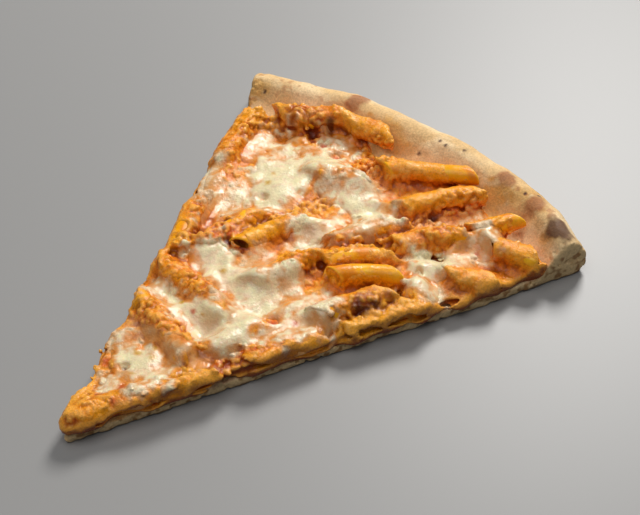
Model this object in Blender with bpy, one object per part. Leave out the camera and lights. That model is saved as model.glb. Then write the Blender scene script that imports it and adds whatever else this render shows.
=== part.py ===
"""Slice of penne vodka pizza: a thin wedge of crust with a raised rim, a bed of creamy tomato
sauce, penne tubes lying in it and puddles of melted mozzarella.

The slice points along -X, its rim is at +X and its flat underside lies on z = 0. Places on the
slice are given in millimetres from its tip: first along the middle line, then across it.
"""

import math
from collections import namedtuple

import bmesh
import bpy
from mathutils import Matrix, Vector, noise

MM = 0.001

# The wedge
PIE_RADIUS = 228 * MM
PIE_CENTRE = Vector((5 * MM, -8 * MM))  # the knife crossed a little off the pie's centre
HALF_ANGLE = math.radians(23.8)
TIP_RADIUS = 3 * MM  # the tip is blunt
TIP_X = -116 * MM  # puts the origin under the middle of the slice

# The crust
CRUST_THICKNESS = 4.6 * MM
RIM_WIDTH = 27 * MM
RIM_CREST_IN = 11 * MM  # from the outer edge to the top of the rim
RIM_HEIGHT = 16.5 * MM
RIM_LEAN = 2.2 * MM  # the rim is taller at the right-hand cut
RIM_UNDERCUT = 3 * MM  # height of the rim's widest line over its underside
OUTLINE_WAVER = 1.6 * MM
RIM_WAVER = 1.3 * MM
RIM_SPREAD = 3 * MM  # the rim's left end swells past the cut
RIM_TRIM = 5 * MM  # its right end is drawn in
CUT_BOW = 1.6 * MM  # the right-hand cut swells out by this near the rim
CUT_BOW_AT = 178 * MM
CUT_BOW_REACH = 42 * MM

# The sauce
GAP = 0.3 * MM
SAUCE_DEPTH = 4.6 * MM
SAUCE_WAVER = 1.3 * MM
SAUCE_HUG = 1.8 * MM  # the sauce climbs this far up a tube lying in it
SAUCE_HUG_REACH = 6 * MM
SAUCE_EDGE_SLUMP = 1.4 * MM  # it bulges this far past the knife's cuts
SAUCE_END_DEPTH = 1.2 * MM  # on the rim's inner slope
SAUCE_TIP_DEPTH = 3.0 * MM
SAUCE_TIP_SET_BACK = 2.5 * MM
SAUCE_TIP_REACH = 17 * MM

# The penne
PENNE_RADIUS = 4.3 * MM
PENNE_WALL = 1.25 * MM
PENNE_SLANT = -0.85  # the ends are cut at about 40 degrees
PENNE_FLATTEN = 0.93
PENNE_SIDES = 10
PENNE_RINGS = 2  # between its ends

# The mesh
COLUMNS = 20  # cells across the wedge
BED_ROWS = 26  # cells from the tip to the rim's foot
INNER_ROWS = 5  # cells up the rim's inner slope
OUTER_ROWS = 6  # cells down its outer side
SAUCE_SLOPE_ROWS = 2  # of the inner rows, those under the sauce
PUDDLE_SECTORS = 18
PUDDLE_RINGS = 8

COLOURS = {
    "crust": (0.72, 0.50, 0.26, 1),
    "sauce": (0.80, 0.30, 0.07, 1),
    "penne": (0.86, 0.44, 0.08, 1),
    "mozzarella": (0.88, 0.80, 0.56, 1),
}
ROUGHNESS = {"crust": 0.75, "sauce": 0.35, "penne": 0.40, "mozzarella": 0.30}

# A rim blister: its direction as a share of the half angle, its distance in from the rim's
# outer edge, its radius and its height.
Blister = namedtuple("Blister", "side inset radius height")
BLISTERS = (
    Blister(-0.84, 9, 11, 2.6),
    Blister(-0.62, 8, 9, 1.2),
    Blister(-0.16, 15, 9, 2.2),
    Blister(0.10, 10, 13, -1.0),
    Blister(0.44, 11, 9, 1.2),
    Blister(0.90, 10, 10, 1.4),
)

# A tube of penne: its two ends from the slice's tip, the heights of its axis there, how far
# its middle bows sideways, and whether the knife went through it.
Penne = namedtuple("Penne", "place start end heights bow cut", defaults=(0, False))
PENNE = (
    Penne("rim_long", (191, 2), (211, -32), (13.2, 16.4), 1.0),
    Penne("rim_second", (178, -19), (206, -39), (12.0, 13.5), 1.0),
    Penne("rim_third", (160.5, -32.5), (181.5, -48.5), (11.0, 12.0), 0.5),
    Penne("rim_fourth", (187.5, -52), (203, -61.5), (12.5, 14.0), 0.3),
    Penne("rim_left", (190, 65), (204, 41), (12.5, 15.0), -4.0),
    Penne("rim_upper", (204.5, 32.5), (207.5, 14), (14.0, 15.2), 0.5),
    Penne("rim_middle", (170, 21), (181, 7), (11.0, 11.5), 0.5),
    Penne("edge_open", (184.5, -63), (190, -79.5), (12.8, 12.3), 0, True),
    Penne("edge_short", (160, -60), (170, -74), (10.5, 9.5), 0, True),
    Penne("centre_yellow", (126.5, -25), (144.5, -44), (13.5, 13.0), 1.5),
    Penne("centre_behind", (131, -15.5), (151, -30.5), (11.5, 10.5), 1.0),
    Penne("near_hollow", (107.5, -35.5), (132, -46.5), (12.8, 12.6), 0.5),
    Penne("near_hanging", (146, -51), (139, -63), (11.0, 8.5), 0, True),
    Penne("middle_mouth", (106, -3), (128, -9), (11.0, 11.5), 0.5),
    Penne("middle_right", (145, -12), (168, -22), (10.5, 10.5), 1.0),
    Penne("left_mouth", (115, 17), (143, 9), (12.0, 11.0), 1.0),
    Penne("left_edge", (97, 36), (123, 50), (10.5, 11.0), 1.0),
    Penne("left_inner", (104, 29), (131, 27), (11.0, 10.5), -1.0),
    Penne("left_upper", (151, 62), (180, 73), (10.5, 11.0), 0.5),
    Penne("ridge_far", (85, 33), (84, -3), (10.8, 11.2), 0.5),
    Penne("ridge_near", (66, 27), (58, -9), (11.0, 10.5), 0.5),
    Penne("tip", (8, 0), (29, -8), (9.0, 9.2), 0.5, True),
    Penne("front_cut", (33, -13), (56, -23), (9.0, 9.0), 0, True),
    Penne("near_front", (64.5, -15.5), (88, -21), (10.5, 10.5), 0.5),
    Penne("near_side", (73, -30), (99, -41), (9.0, 9.0), 0, True),
    Penne("near_back", (111, -47.3), (134, -57.3), (9.0, 9.0), 0, True),
)

# A round of cheese: its middle, its two radii, its heading in degrees and its thickness.
Round = namedtuple("Round", "middle radii heading depth")
MOZZARELLA = {
    "back": (
        Round((162, 38), (27, 15), 25, 3.2),
        Round((178, 30), (12, 17), 0, 3.0),
        Round((151, 28), (13, 9), 15, 2.8),
    ),
    "left": (
        Round((131, 46), (9, 8), 24, 2.6),
        Round((124, 38), (8, 5), 10, 2.2),
    ),
    "centre": (
        Round((157, 4), (17, 8), -10, 3.0),
        Round((168, -6), (11, 8), -30, 3.0),
    ),
    "middle": (
        Round((104, 12), (12, 15), -8, 3.0),
        Round((98, -5), (13, 14), 0, 3.0),
    ),
    "drape": (
        Round((114, -25.5), (14, 6.5), -15, 2.8),
        Round((98, -30.5), (12, 7), -20, 2.6),
    ),
    "strip": (
        Round((74, 0), (8, 16), 8, 2.8),
        Round((75, 18), (7, 12), 0, 2.6),
    ),
    "front": (
        Round((44, 3), (14, 12), 15, 2.8),
        Round((33, 3), (8, 7), 20, 2.4),
    ),
    "right": (
        Round((155, -48), (11, 7), -30, 2.8),
        Round((171, -54), (11, 7), -20, 2.8),
        Round((180, -67), (6, 7), -20, 2.4),
    ),
}


def smooth_step(share):
    share = min(max(share, 0), 1)
    return share * share * (3 - 2 * share)


def waver(x, y, size, layer):
    """Smooth unevenness between about -1 and 1, with lumps of the given size."""
    return noise.noise(Vector((x / size, y / size, layer * 7.3)))


def on_slice(place, height=0):
    """World point of a place in millimetres from the tip."""
    return Vector((TIP_X + place[0] * MM, place[1] * MM, height * MM))


def polar(distance, angle):
    """World x and y at this distance and direction from the tip."""
    return TIP_X + distance * math.cos(angle), distance * math.sin(angle)


def outer_radius(angle):
    """Distance from the tip to the outer edge of the rim in this direction."""
    along = PIE_CENTRE.dot(Vector((math.cos(angle), math.sin(angle))))
    reach = along + math.sqrt(PIE_RADIUS**2 - PIE_CENTRE.length_squared + along**2)
    trim = RIM_TRIM * smooth_step((-angle / HALF_ANGLE - 0.65) / 0.35)
    return reach - trim + OUTLINE_WAVER * noise.noise(Vector((angle * 7, 0, 2)))


def crest_height(angle):
    side = angle / HALF_ANGLE
    lumps = noise.noise(Vector((angle * 9, 5, 0)))
    return RIM_HEIGHT - RIM_LEAN * side * abs(side) + RIM_WAVER * lumps


def blister_height(x, y, angle):
    total = 0
    for blister in BLISTERS:
        heading = blister.side * HALF_ANGLE
        cx, cy = polar(outer_radius(heading) - blister.inset * MM, heading)
        apart = math.hypot(x - cx, y - cy) / (blister.radius * MM)
        total += blister.height * MM * math.exp(-apart * apart)
    return total


def crust_surface(angle, row):
    """World point of the crust's top at one of its rows: bed, inner slope, then outer side."""
    outer = outer_radius(angle)
    foot, crest = outer - RIM_WIDTH, outer - RIM_CREST_IN
    top = crest_height(angle)
    if row <= BED_ROWS:
        share = row / BED_ROWS
        distance = TIP_RADIUS + (foot - TIP_RADIUS) * share
        height = CRUST_THICKNESS
    elif row <= BED_ROWS + INNER_ROWS:
        share = (row - BED_ROWS) / INNER_ROWS
        distance = foot + (crest - foot) * share
        height = CRUST_THICKNESS + (top - CRUST_THICKNESS) * smooth_step(share)
    else:
        turn = (row - BED_ROWS - INNER_ROWS) / OUTER_ROWS * math.pi / 2
        distance = crest + (outer - crest) * math.sin(turn)
        height = RIM_UNDERCUT + (top - RIM_UNDERCUT) * math.cos(turn)
    x, y = polar(distance, angle)
    if row > BED_ROWS:
        fade = smooth_step((height - CRUST_THICKNESS) / (top - CRUST_THICKNESS))
        height += fade * blister_height(x, y, angle)
        swell = max(angle / HALF_ANGLE, 0) ** 6 * smooth_step((distance - foot) / RIM_CREST_IN)
        y += RIM_SPREAD * swell
    bow = CUT_BOW * math.exp(-(((distance - CUT_BOW_AT) / CUT_BOW_REACH) ** 2))
    y -= bow * max(-angle / HALF_ANGLE, 0)
    return Vector((x, y, height))


def penne_axis(piece, share):
    """World point on a tube's bowed axis."""
    start = on_slice(piece.start, piece.heights[0])
    end = on_slice(piece.end, piece.heights[1])
    side = Vector((start.y - end.y, end.x - start.x, 0)).normalized()
    return start.lerp(end, share) + side * piece.bow * MM * math.sin(math.pi * share)


def distance_to_penne(x, y, piece):
    start, end = on_slice(piece.start), on_slice(piece.end)
    along = end - start
    share = ((x - start.x) * along.x + (y - start.y) * along.y) / along.length_squared
    nearest = start + along * min(max(share, 0), 1)
    return math.hypot(x - nearest.x, y - nearest.y)


def sauce_depth(x, y):
    """Thickness of the sauce: lumpy, and banked up against the penne."""
    nearest = min(distance_to_penne(x, y, piece) for piece in PENNE)
    bank = SAUCE_HUG * math.exp(-((nearest / SAUCE_HUG_REACH) ** 2))
    lumps = waver(x, y, 15 * MM, 1) + 0.5 * waver(x, y, 7 * MM, 2)
    return SAUCE_DEPTH + bank + SAUCE_WAVER * lumps


def sauce_surface(angle, row):
    """World point of the sauce's top at one of the crust's rows."""
    point = crust_surface(angle, row)
    climb = smooth_step((row - BED_ROWS) / SAUCE_SLOPE_ROWS)
    depth = sauce_depth(point.x, point.y)
    tip = 1 - smooth_step((point.x - TIP_X - TIP_RADIUS) / SAUCE_TIP_REACH)
    depth += (SAUCE_TIP_DEPTH - depth) * tip
    point.x += SAUCE_TIP_SET_BACK * tip
    point.z += GAP + depth + (SAUCE_END_DEPTH - depth) * climb
    if abs(angle) > 0.999 * HALF_ANGLE:
        slump = SAUCE_EDGE_SLUMP * (0.4 + 0.6 * waver(point.x, point.y, 11 * MM, 3))
        side = math.copysign(1, angle)
        point.x -= side * math.sin(angle) * slump
        point.y += side * math.cos(angle) * slump
    return point


def sauce_height(x, y):
    """Height of the sauce's top over a place on the bed."""
    return CRUST_THICKNESS + GAP + sauce_depth(x, y)


def collection_named(name):
    collection = bpy.data.collections.new(name)
    bpy.context.scene.collection.children.link(collection)
    return collection


def material_named(name):
    material = bpy.data.materials.new(name)
    material.use_nodes = True
    shader = material.node_tree.nodes["Principled BSDF"]
    shader.inputs["Base Color"].default_value = COLOURS[name]
    shader.inputs["Roughness"].default_value = ROUGHNESS[name]
    return material


def object_from(bm, name, collection, material=None):
    bm.normal_update()
    bmesh.ops.recalc_face_normals(bm, faces=bm.faces[:])
    mesh = bpy.data.meshes.new(name)
    bm.to_mesh(mesh)
    bm.free()
    mesh.shade_smooth()
    mesh.set_sharp_from_angle(angle=math.radians(40))
    made = bpy.data.objects.new(name, mesh)
    collection.objects.link(made)
    if material:
        mesh.materials.append(material)
    return made


def as_cutter(made):
    made.hide_render = True
    made.display_type = "WIRE"
    return made


def wedge_layer(bm, rows, top, bottom):
    """A closed layer over the wedge: a grid shaped by top, and its copy shaped by bottom."""
    bmesh.ops.create_grid(bm, x_segments=COLUMNS, y_segments=rows, size=0.5)
    places = {v: (2 * v.co.x * HALF_ANGLE, round((v.co.y + 0.5) * rows)) for v in bm.verts}
    copied = bmesh.ops.duplicate(bm, geom=bm.faces[:])
    copies = [v for v in copied["geom"] if isinstance(v, bmesh.types.BMVert)]
    under = {v: places[copied["vert_map"][v]] for v in copies}
    under_faces = [f for f in copied["geom"] if isinstance(f, bmesh.types.BMFace)]
    for vert, (angle, row) in places.items():
        vert.co = top(angle, row)
    for vert, (angle, row) in under.items():
        vert.co = bottom(angle, row)
    rims = [edge for edge in bm.edges if edge.is_boundary]
    bmesh.ops.bridge_loops(bm, edges=rims)
    return under_faces


def faces_at(faces, height):
    """Those of the faces that lie flat at this height."""
    return [f for f in faces if all(abs(v.co.z - height) < 0.001 * MM for v in f.verts)]


def make_crust(collection, material):
    rows = BED_ROWS + INNER_ROWS + OUTER_ROWS

    def underside(angle, row):
        point = crust_surface(angle, row)
        inset = RIM_UNDERCUT * smooth_step((row - BED_ROWS - INNER_ROWS) / OUTER_ROWS)
        point.x -= inset * math.cos(angle)
        point.y -= inset * math.sin(angle)
        point.z = 0
        return point

    bm = bmesh.new()
    under_faces = wedge_layer(bm, rows, crust_surface, underside)
    bmesh.ops.dissolve_faces(bm, faces=under_faces)
    bmesh.ops.dissolve_faces(bm, faces=faces_at(bm.faces, CRUST_THICKNESS))
    return object_from(bm, "crust", collection, material)


def make_sauce(collection, material):
    rows = BED_ROWS + SAUCE_SLOPE_ROWS

    def underside(angle, row):
        return crust_surface(angle, row) + Vector((0, 0, GAP))

    bm = bmesh.new()
    under_faces = wedge_layer(bm, rows, sauce_surface, underside)
    bmesh.ops.dissolve_faces(bm, faces=faces_at(under_faces, CRUST_THICKNESS + GAP))
    bmesh.ops.triangulate(bm, faces=bm.faces[:])
    return object_from(bm, "sauce", collection, material)


def tube_frame(piece, share):
    """The axis point, and the sideways and upward directions, of a tube."""
    ahead = penne_axis(piece, min(share + 0.01, 1)) - penne_axis(piece, max(share - 0.01, 0))
    side = Vector((-ahead.y, ahead.x, 0)).normalized()
    return penne_axis(piece, share), ahead.normalized(), side, ahead.cross(side).normalized()


def bend(bm, piece, lengthen):
    """Slants the ends of an upright tube of length 1 and lays it along the piece's axis."""
    for vert in bm.verts:
        across, up, share = vert.co.x, vert.co.y, vert.co.z + 0.5
        point, ahead, side, over = tube_frame(piece, share)
        forward = across * PENNE_SLANT + (share - 0.5) * lengthen
        vert.co = point + ahead * forward + side * across + over * up * PENNE_FLATTEN


def make_penne(piece, collection, material, knife):
    """A tube: a grid wrapped round outside it and back through its bore."""
    cells = PENNE_RINGS + 1
    rows = 2 * cells + 2
    bm = bmesh.new()
    bmesh.ops.create_grid(bm, x_segments=PENNE_SIDES, y_segments=rows, size=0.5)
    for vert in bm.verts:
        turn = 2 * math.pi * (vert.co.x + 0.5)
        row = round((vert.co.y + 0.5) * rows) % rows
        outside = row <= cells
        radius = PENNE_RADIUS if outside else PENNE_RADIUS - PENNE_WALL
        share = (row if outside else rows - 1 - row) / cells
        vert.co = (radius * math.cos(turn), radius * math.sin(turn), share - 0.5)
    bmesh.ops.remove_doubles(bm, verts=bm.verts[:], dist=0.001 * MM)
    bend(bm, piece, 0)
    made = object_from(bm, "penne_" + piece.place, collection, material)
    if piece.cut:
        boolean(made, knife, "INTERSECT")
        bake(made)


def make_plug(piece, collection):
    """The tube's full outer form with a gap round it, for cutting its bed."""
    radius = PENNE_RADIUS + GAP
    bm = bmesh.new()
    bmesh.ops.create_cone(
        bm, cap_ends=True, segments=PENNE_SIDES, radius1=radius, radius2=radius, depth=1
    )
    lengthwise = [edge for edge in bm.edges if abs(edge.verts[0].co.z - edge.verts[1].co.z) > 0.5]
    bmesh.ops.subdivide_edges(bm, edges=lengthwise, cuts=PENNE_RINGS)
    bend(bm, piece, 3 * GAP)
    return as_cutter(object_from(bm, "plug_" + piece.place, collection))


def make_knife(collection):
    """The space between the two cuts, from the table up."""
    bm = bmesh.new()
    bmesh.ops.create_grid(bm, x_segments=1, y_segments=1, size=0.5)
    reach = 1.3 * PIE_RADIUS
    for vert in bm.verts:
        distance = reach * (vert.co.x + 0.5) + 0.5 * TIP_RADIUS
        vert.co.x, vert.co.y = polar(distance, 2 * vert.co.y * HALF_ANGLE)
    raised = bmesh.ops.extrude_face_region(bm, geom=bm.faces[:])
    for vert in raised["geom"]:
        if isinstance(vert, bmesh.types.BMVert):
            vert.co.z = 2 * RIM_HEIGHT
    return as_cutter(object_from(bm, "knife", collection))


def make_round(spot, name, collection):
    """A puddle of cheese, as a sphere pressed onto the sauce with a wavering outline."""
    bm = bmesh.new()
    bmesh.ops.create_uvsphere(bm, u_segments=PUDDLE_SECTORS, v_segments=PUDDLE_RINGS, radius=1)
    turn = Matrix.Rotation(math.radians(spot.heading), 2)
    middle = on_slice(spot.middle)
    for vert in bm.verts:
        unit = vert.co.copy()
        outline = 1 + 0.16 * waver(unit.x, unit.y, 0.6, spot.middle[0])
        flat = turn @ Vector((unit.x * spot.radii[0], unit.y * spot.radii[1])) * MM * outline
        x, y = middle.x + flat.x, middle.y + flat.y
        surface = sauce_height(x, y)
        rise = spot.depth * MM * (0.75 + 0.25 * waver(x, y, 9 * MM, 5))
        sink = 2 * SAUCE_WAVER
        vert.co = (x, y, surface + (rise if unit.z > 0 else sink) * unit.z)
    return object_from(bm, name, collection)


def boolean(made, cutter, operation):
    modifier = made.modifiers.new(operation, "BOOLEAN")
    modifier.operation = operation
    modifier.object = cutter
    modifier.solver = "MANIFOLD"


def bake(made):
    """Applies the object's modifiers and keeps the largest piece of what they leave."""
    graph = bpy.context.evaluated_depsgraph_get()
    baked = bpy.data.meshes.new_from_object(made.evaluated_get(graph))
    bm = bmesh.new()
    bm.from_mesh(baked)
    bmesh.ops.triangulate(bm, faces=bm.faces[:])
    left, largest = set(bm.faces), []
    while left:
        island, border = [], [left.pop()]
        while border:
            face = border.pop()
            island.append(face)
            for edge in face.edges:
                near = [f for f in edge.link_faces if f in left]
                left.difference_update(near)
                border.extend(near)
        largest = max(largest, island, key=len)
    kept = set(largest)
    bmesh.ops.delete(bm, geom=[f for f in bm.faces if f not in kept], context="FACES")
    bm.to_mesh(baked)
    bm.free()
    made.modifiers.clear()
    made.data = baked


def touches(made, plug):
    """Whether the two objects' boxes meet."""
    corners = [[obj.matrix_world @ Vector(c) for c in obj.bound_box] for obj in (made, plug)]
    low = [Vector(min(c[i] for c in box) for i in range(3)) for box in corners]
    high = [Vector(max(c[i] for c in box) for i in range(3)) for box in corners]
    return all(low[0][i] < high[1][i] and low[1][i] < high[0][i] for i in range(3))


def make_mozzarella(name, rounds, collection, material, bed, plugs):
    pieces = [make_round(spot, f"mozzarella_{name}", collection) for spot in rounds]
    cheese = pieces[0]
    for piece in pieces[1:]:
        boolean(cheese, piece, "UNION")
    bake(cheese)
    for piece in pieces[1:]:
        bpy.data.objects.remove(piece)
    cheese.data.materials.append(material)
    bpy.context.view_layer.update()
    boolean(cheese, bed, "DIFFERENCE")
    for plug in plugs:
        if touches(cheese, plug):
            boolean(cheese, plug, "DIFFERENCE")
    bake(cheese)


def main():
    for old in list(bpy.data.objects):
        bpy.data.objects.remove(old)
    slice_parts = collection_named("penne vodka pizza slice")
    cutters = collection_named("cutters")
    materials = {name: material_named(name) for name in COLOURS}

    make_crust(slice_parts, materials["crust"])
    knife = make_knife(cutters)
    plugs = [make_plug(piece, cutters) for piece in PENNE]
    for piece in PENNE:
        make_penne(piece, slice_parts, materials["penne"], knife)

    sauce = make_sauce(slice_parts, materials["sauce"])
    bed = as_cutter(bpy.data.objects.new("raised_bed", sauce.data.copy()))
    cutters.objects.link(bed)
    bed.location.z = GAP
    bpy.context.view_layer.update()
    for name, rounds in MOZZARELLA.items():
        make_mozzarella(name, rounds, slice_parts, materials["mozzarella"], bed, plugs)
    for plug in plugs:
        boolean(sauce, plug, "DIFFERENCE")
    bake(sauce)


main()
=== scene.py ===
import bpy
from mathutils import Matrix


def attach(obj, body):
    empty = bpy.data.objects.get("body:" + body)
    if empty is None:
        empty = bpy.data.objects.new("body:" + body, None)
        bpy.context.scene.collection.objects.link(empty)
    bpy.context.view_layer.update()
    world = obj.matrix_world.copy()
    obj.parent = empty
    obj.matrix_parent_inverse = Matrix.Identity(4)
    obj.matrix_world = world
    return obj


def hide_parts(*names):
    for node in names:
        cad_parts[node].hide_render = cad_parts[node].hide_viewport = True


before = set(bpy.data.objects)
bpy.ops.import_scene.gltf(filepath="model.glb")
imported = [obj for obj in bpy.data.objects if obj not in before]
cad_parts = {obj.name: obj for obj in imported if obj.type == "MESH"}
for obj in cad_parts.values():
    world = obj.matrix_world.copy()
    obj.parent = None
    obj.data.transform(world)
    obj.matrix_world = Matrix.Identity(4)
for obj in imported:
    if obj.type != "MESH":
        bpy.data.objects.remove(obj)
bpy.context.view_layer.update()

import math
from collections import namedtuple

import bpy
import numpy as np
from mathutils import Vector
from mathutils.bvhtree import BVHTree

# Looks of the penne vodka pizza slice. The crust, the sauce, each tube of penne and the melted
# mozzarella are grown as fields of signed distance, in millimetres from the slice's tip: first
# along the middle line, then across it, then up. Each field's zero surface becomes one piece.

MM = 0.001
TIP_X = -116

# A layer of smooth unevenness: how high its lumps are, how large, and the seed they come from.
Lump = namedtuple("Lump", "height size seed")

# The voxels
CELL = 0.5
CRUST_SAMPLES = 1.4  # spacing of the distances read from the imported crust
FAR = 8  # they are estimated further than this outside the cuts
FIELD_LOW = (-5, -102, -2)
FIELD_HIGH = (239, 104, 25)
NOTHING_NEAR = 99  # the distance to something that isn't there yet
MOST_TRIANGLES = {"crust": 150_000, "sauce": 190_000, "mozzarella": 170_000}
LEAST_POINTS = 400  # loose bodies with fewer are left out
LEAST_STEEPNESS = 0.25

# The knife
HALF_ANGLE = math.radians(23.8)

# The crust
BLISTER_STEEPNESS = 1.3
CUT_SMOOTHING = 0.7  # share of the skin's wrinkles that is missing at the cuts
PORE_LEVEL = 0.5
PORE_DEPTH = 0.55
UNDERSIDE_WAVER = 0.12

# The sauce
BED_TOP = 4.6
SAUCE_DEPTH = 4.8
SAUCE_SINK = 0.9  # its underside lies this far inside the crust
SAUCE_BLEND = 4.0  # radius of the fillets where it meets the tubes
SAUCE_BANK = 2.4  # it is heaped up this far round the tubes
SAUCE_BANK_REACH = 7
SAUCE_TIP_SHARE = 0.55  # of its depth, at the very tip
SHORE_REACH = 6  # it thins out over about this length up the rim,
SHORE_SINK = 1.5  # and ends this far under the crust's skin
EDGE_HEIGHT = 2.3  # where the crust's outline is taken for the cuts
SAUCE_SLUMP = 0.2  # it bulges this far past the cuts, more or less
SAUCE_HEM = 0.4  # at the cuts it ends this far under the bed's top

# Its coat on the tubes
TUBE_MARGIN = 14  # a tube changes the sauce no further off than this
COAT_WAVER = 0.3
COAT_LOWEST = -0.8
COAT_END = 0.3  # it is this much thicker over a tube's ends
CUT_COAT = 0.5  # over the knife's cut through a tube, and as much more or less

# Its curds
CURD_PLAIN = 0.4  # how curdled the sauce is outside the patches
CURD_REACH = 1.5  # a patch ends here, where 1 is its outline
CURD_LEVEL = 0.6
CURD_TUBE_LOSS = 0.6
CURD_CUT_LOSS = 0.25
CURD_RISE = 2  # they fade out below this height over the bed
CRUMB_RADIUS = 0.5
CRUMB_RANGE = 0.8
CRUMB_LIFT = 0.1
CRUMB_SET_BACK = 5.5  # from the cuts
BALL_MARGIN = 2

# The hollow line along the cuts, between the toppings' brow and the bed
GROOVE_HEIGHT = 7.4
GROOVE_WIDTH = 1.5
GROOVE_LEFT_LOSS = 0.5  # share of its width that is missing at the left-hand cut
GROOVE_END_LOSS = 1.2
GROOVE_SHIFT = 0.4  # its middle lies this far outside the cut
GROOVE_FLATTEN = 0.8

# Where the sauce ends on the rim, across from one cut to the other and along from the tip
SHORE = (
    (-83, 191), (-75, 197), (-62, 200), (-48, 203), (-36, 209), (-22, 210), (-8, 206), (4, 204),
    (18, 200), (27, 207), (38, 208), (55, 206), (62, 202), (66, 191), (76, 186),
)  # fmt: skip

# The penne
PENNE_RADIUS = 4.3
PENNE_WALL = 1.25
PENNE_SLANT = -0.85
PENNE_FLATTEN = 0.93
KNIFE_PLAY = 0.1  # a cut tube may stand out of the cut by this
MOUTH_WIDER = 0.2  # an open mouth is cleared of sauce this far round its bore,
MOUTH_INSET = 0.1  # from here inside its end
MOUTH_REACH = 1.0  # both ways by this

# The mozzarella
CHEESE_SINK = 0.7
CHEESE_NONE = -4.0  # its depth far from any cheese
CHEESE_TRIM = 0.95
EVENING = 2.4  # radius of the hollows that the cheese evens out
EVENED_SHARE = 0.85  # how much it does so,
OWN_SHARE = 0.15  # and how much it follows the toppings' own form
DRIP_RISE = 0.6  # it ends this far over the bed
STRAND_BALLS = 24
STRAND_WAIST = 0.75  # of its radius, in the middle
PIT_COLOURED = 0.6  # pits no deeper than this aren't dug

# How the cheese whitens what it covers, from 0 to 1
CHEESE_VEIL = 0.7  # its whiteness builds up over about this thickness
VEIL_WHITENESS = 0.6

FRAY = 0.15  # how far the noises shift the borders between the toppings' colours
GRAIN = 0.05  # how far the finest noise lightens and darkens every colour

# A material: the size in millimetres and the strength of its fine speckle, its roughness where it
# is wet and where it is dry, the sizes and heights of its relief in millimetres, how much light
# it lets in, how far in metres, and how strongly it mirrors.
Finish = namedtuple("Finish", "speckle_size speckle wet dry relief flesh deep shine")
FINISHES = {
    "crust": Finish(0.9, 0.16, 0.5, 0.85, ((1.2, 0.25), (0.4, 0.1)), 0, 0.001, 0.5),
    "sauce": Finish(0.8, 0.18, 0.1, 0.4, ((1.0, 0.35), (0.4, 0.12)), 0.06, 0.001, 0.3),
    "penne": Finish(1.0, 0.08, 0.15, 0.42, ((1.5, 0.2), (0.5, 0.08)), 0.08, 0.001, 0.3),
    "mozzarella": Finish(0.9, 0.05, 0.08, 0.34, ((1.3, 0.3), (0.5, 0.1)), 0.25, 0.0015, 0.5),
}
FLESH_RADIUS = (1.0, 0.5, 0.25)

# The photograph's camera, fitted to the slice's outline, in metres and degrees
CAMERA_TARGET = (0.02492, -0.00468, 0)
CAMERA_AZIMUTH = -137.94
CAMERA_ELEVATION = 44.93
CAMERA_DISTANCE = 0.60019
CAMERA_LENS = 78.75
CAMERA_SENSOR = 36

# The light and the counter, in metres, degrees and watts
Lamp = namedtuple("Lamp", "name azimuth elevation distance size power colour")
LAMPS = (
    Lamp("window", 20, 42, 1.3, 0.4, 15.5, (1.0, 0.98, 0.95)),
    Lamp("ceiling", 180, 78, 1.3, 1.0, 7, (1.0, 0.98, 0.96)),
)
WORLD_COLOUR = (0.93, 0.96, 1.0, 1)
WORLD_STRENGTH = 0.11
FLOOR_HALF = 3.0
FLOOR_DROP = 0.0002  # below the underside, so that the two don't flicker
FLOOR_COLOUR = (0.31, 0.308, 0.305, 1)
FLOOR_ROUGHNESS = 0.45

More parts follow.
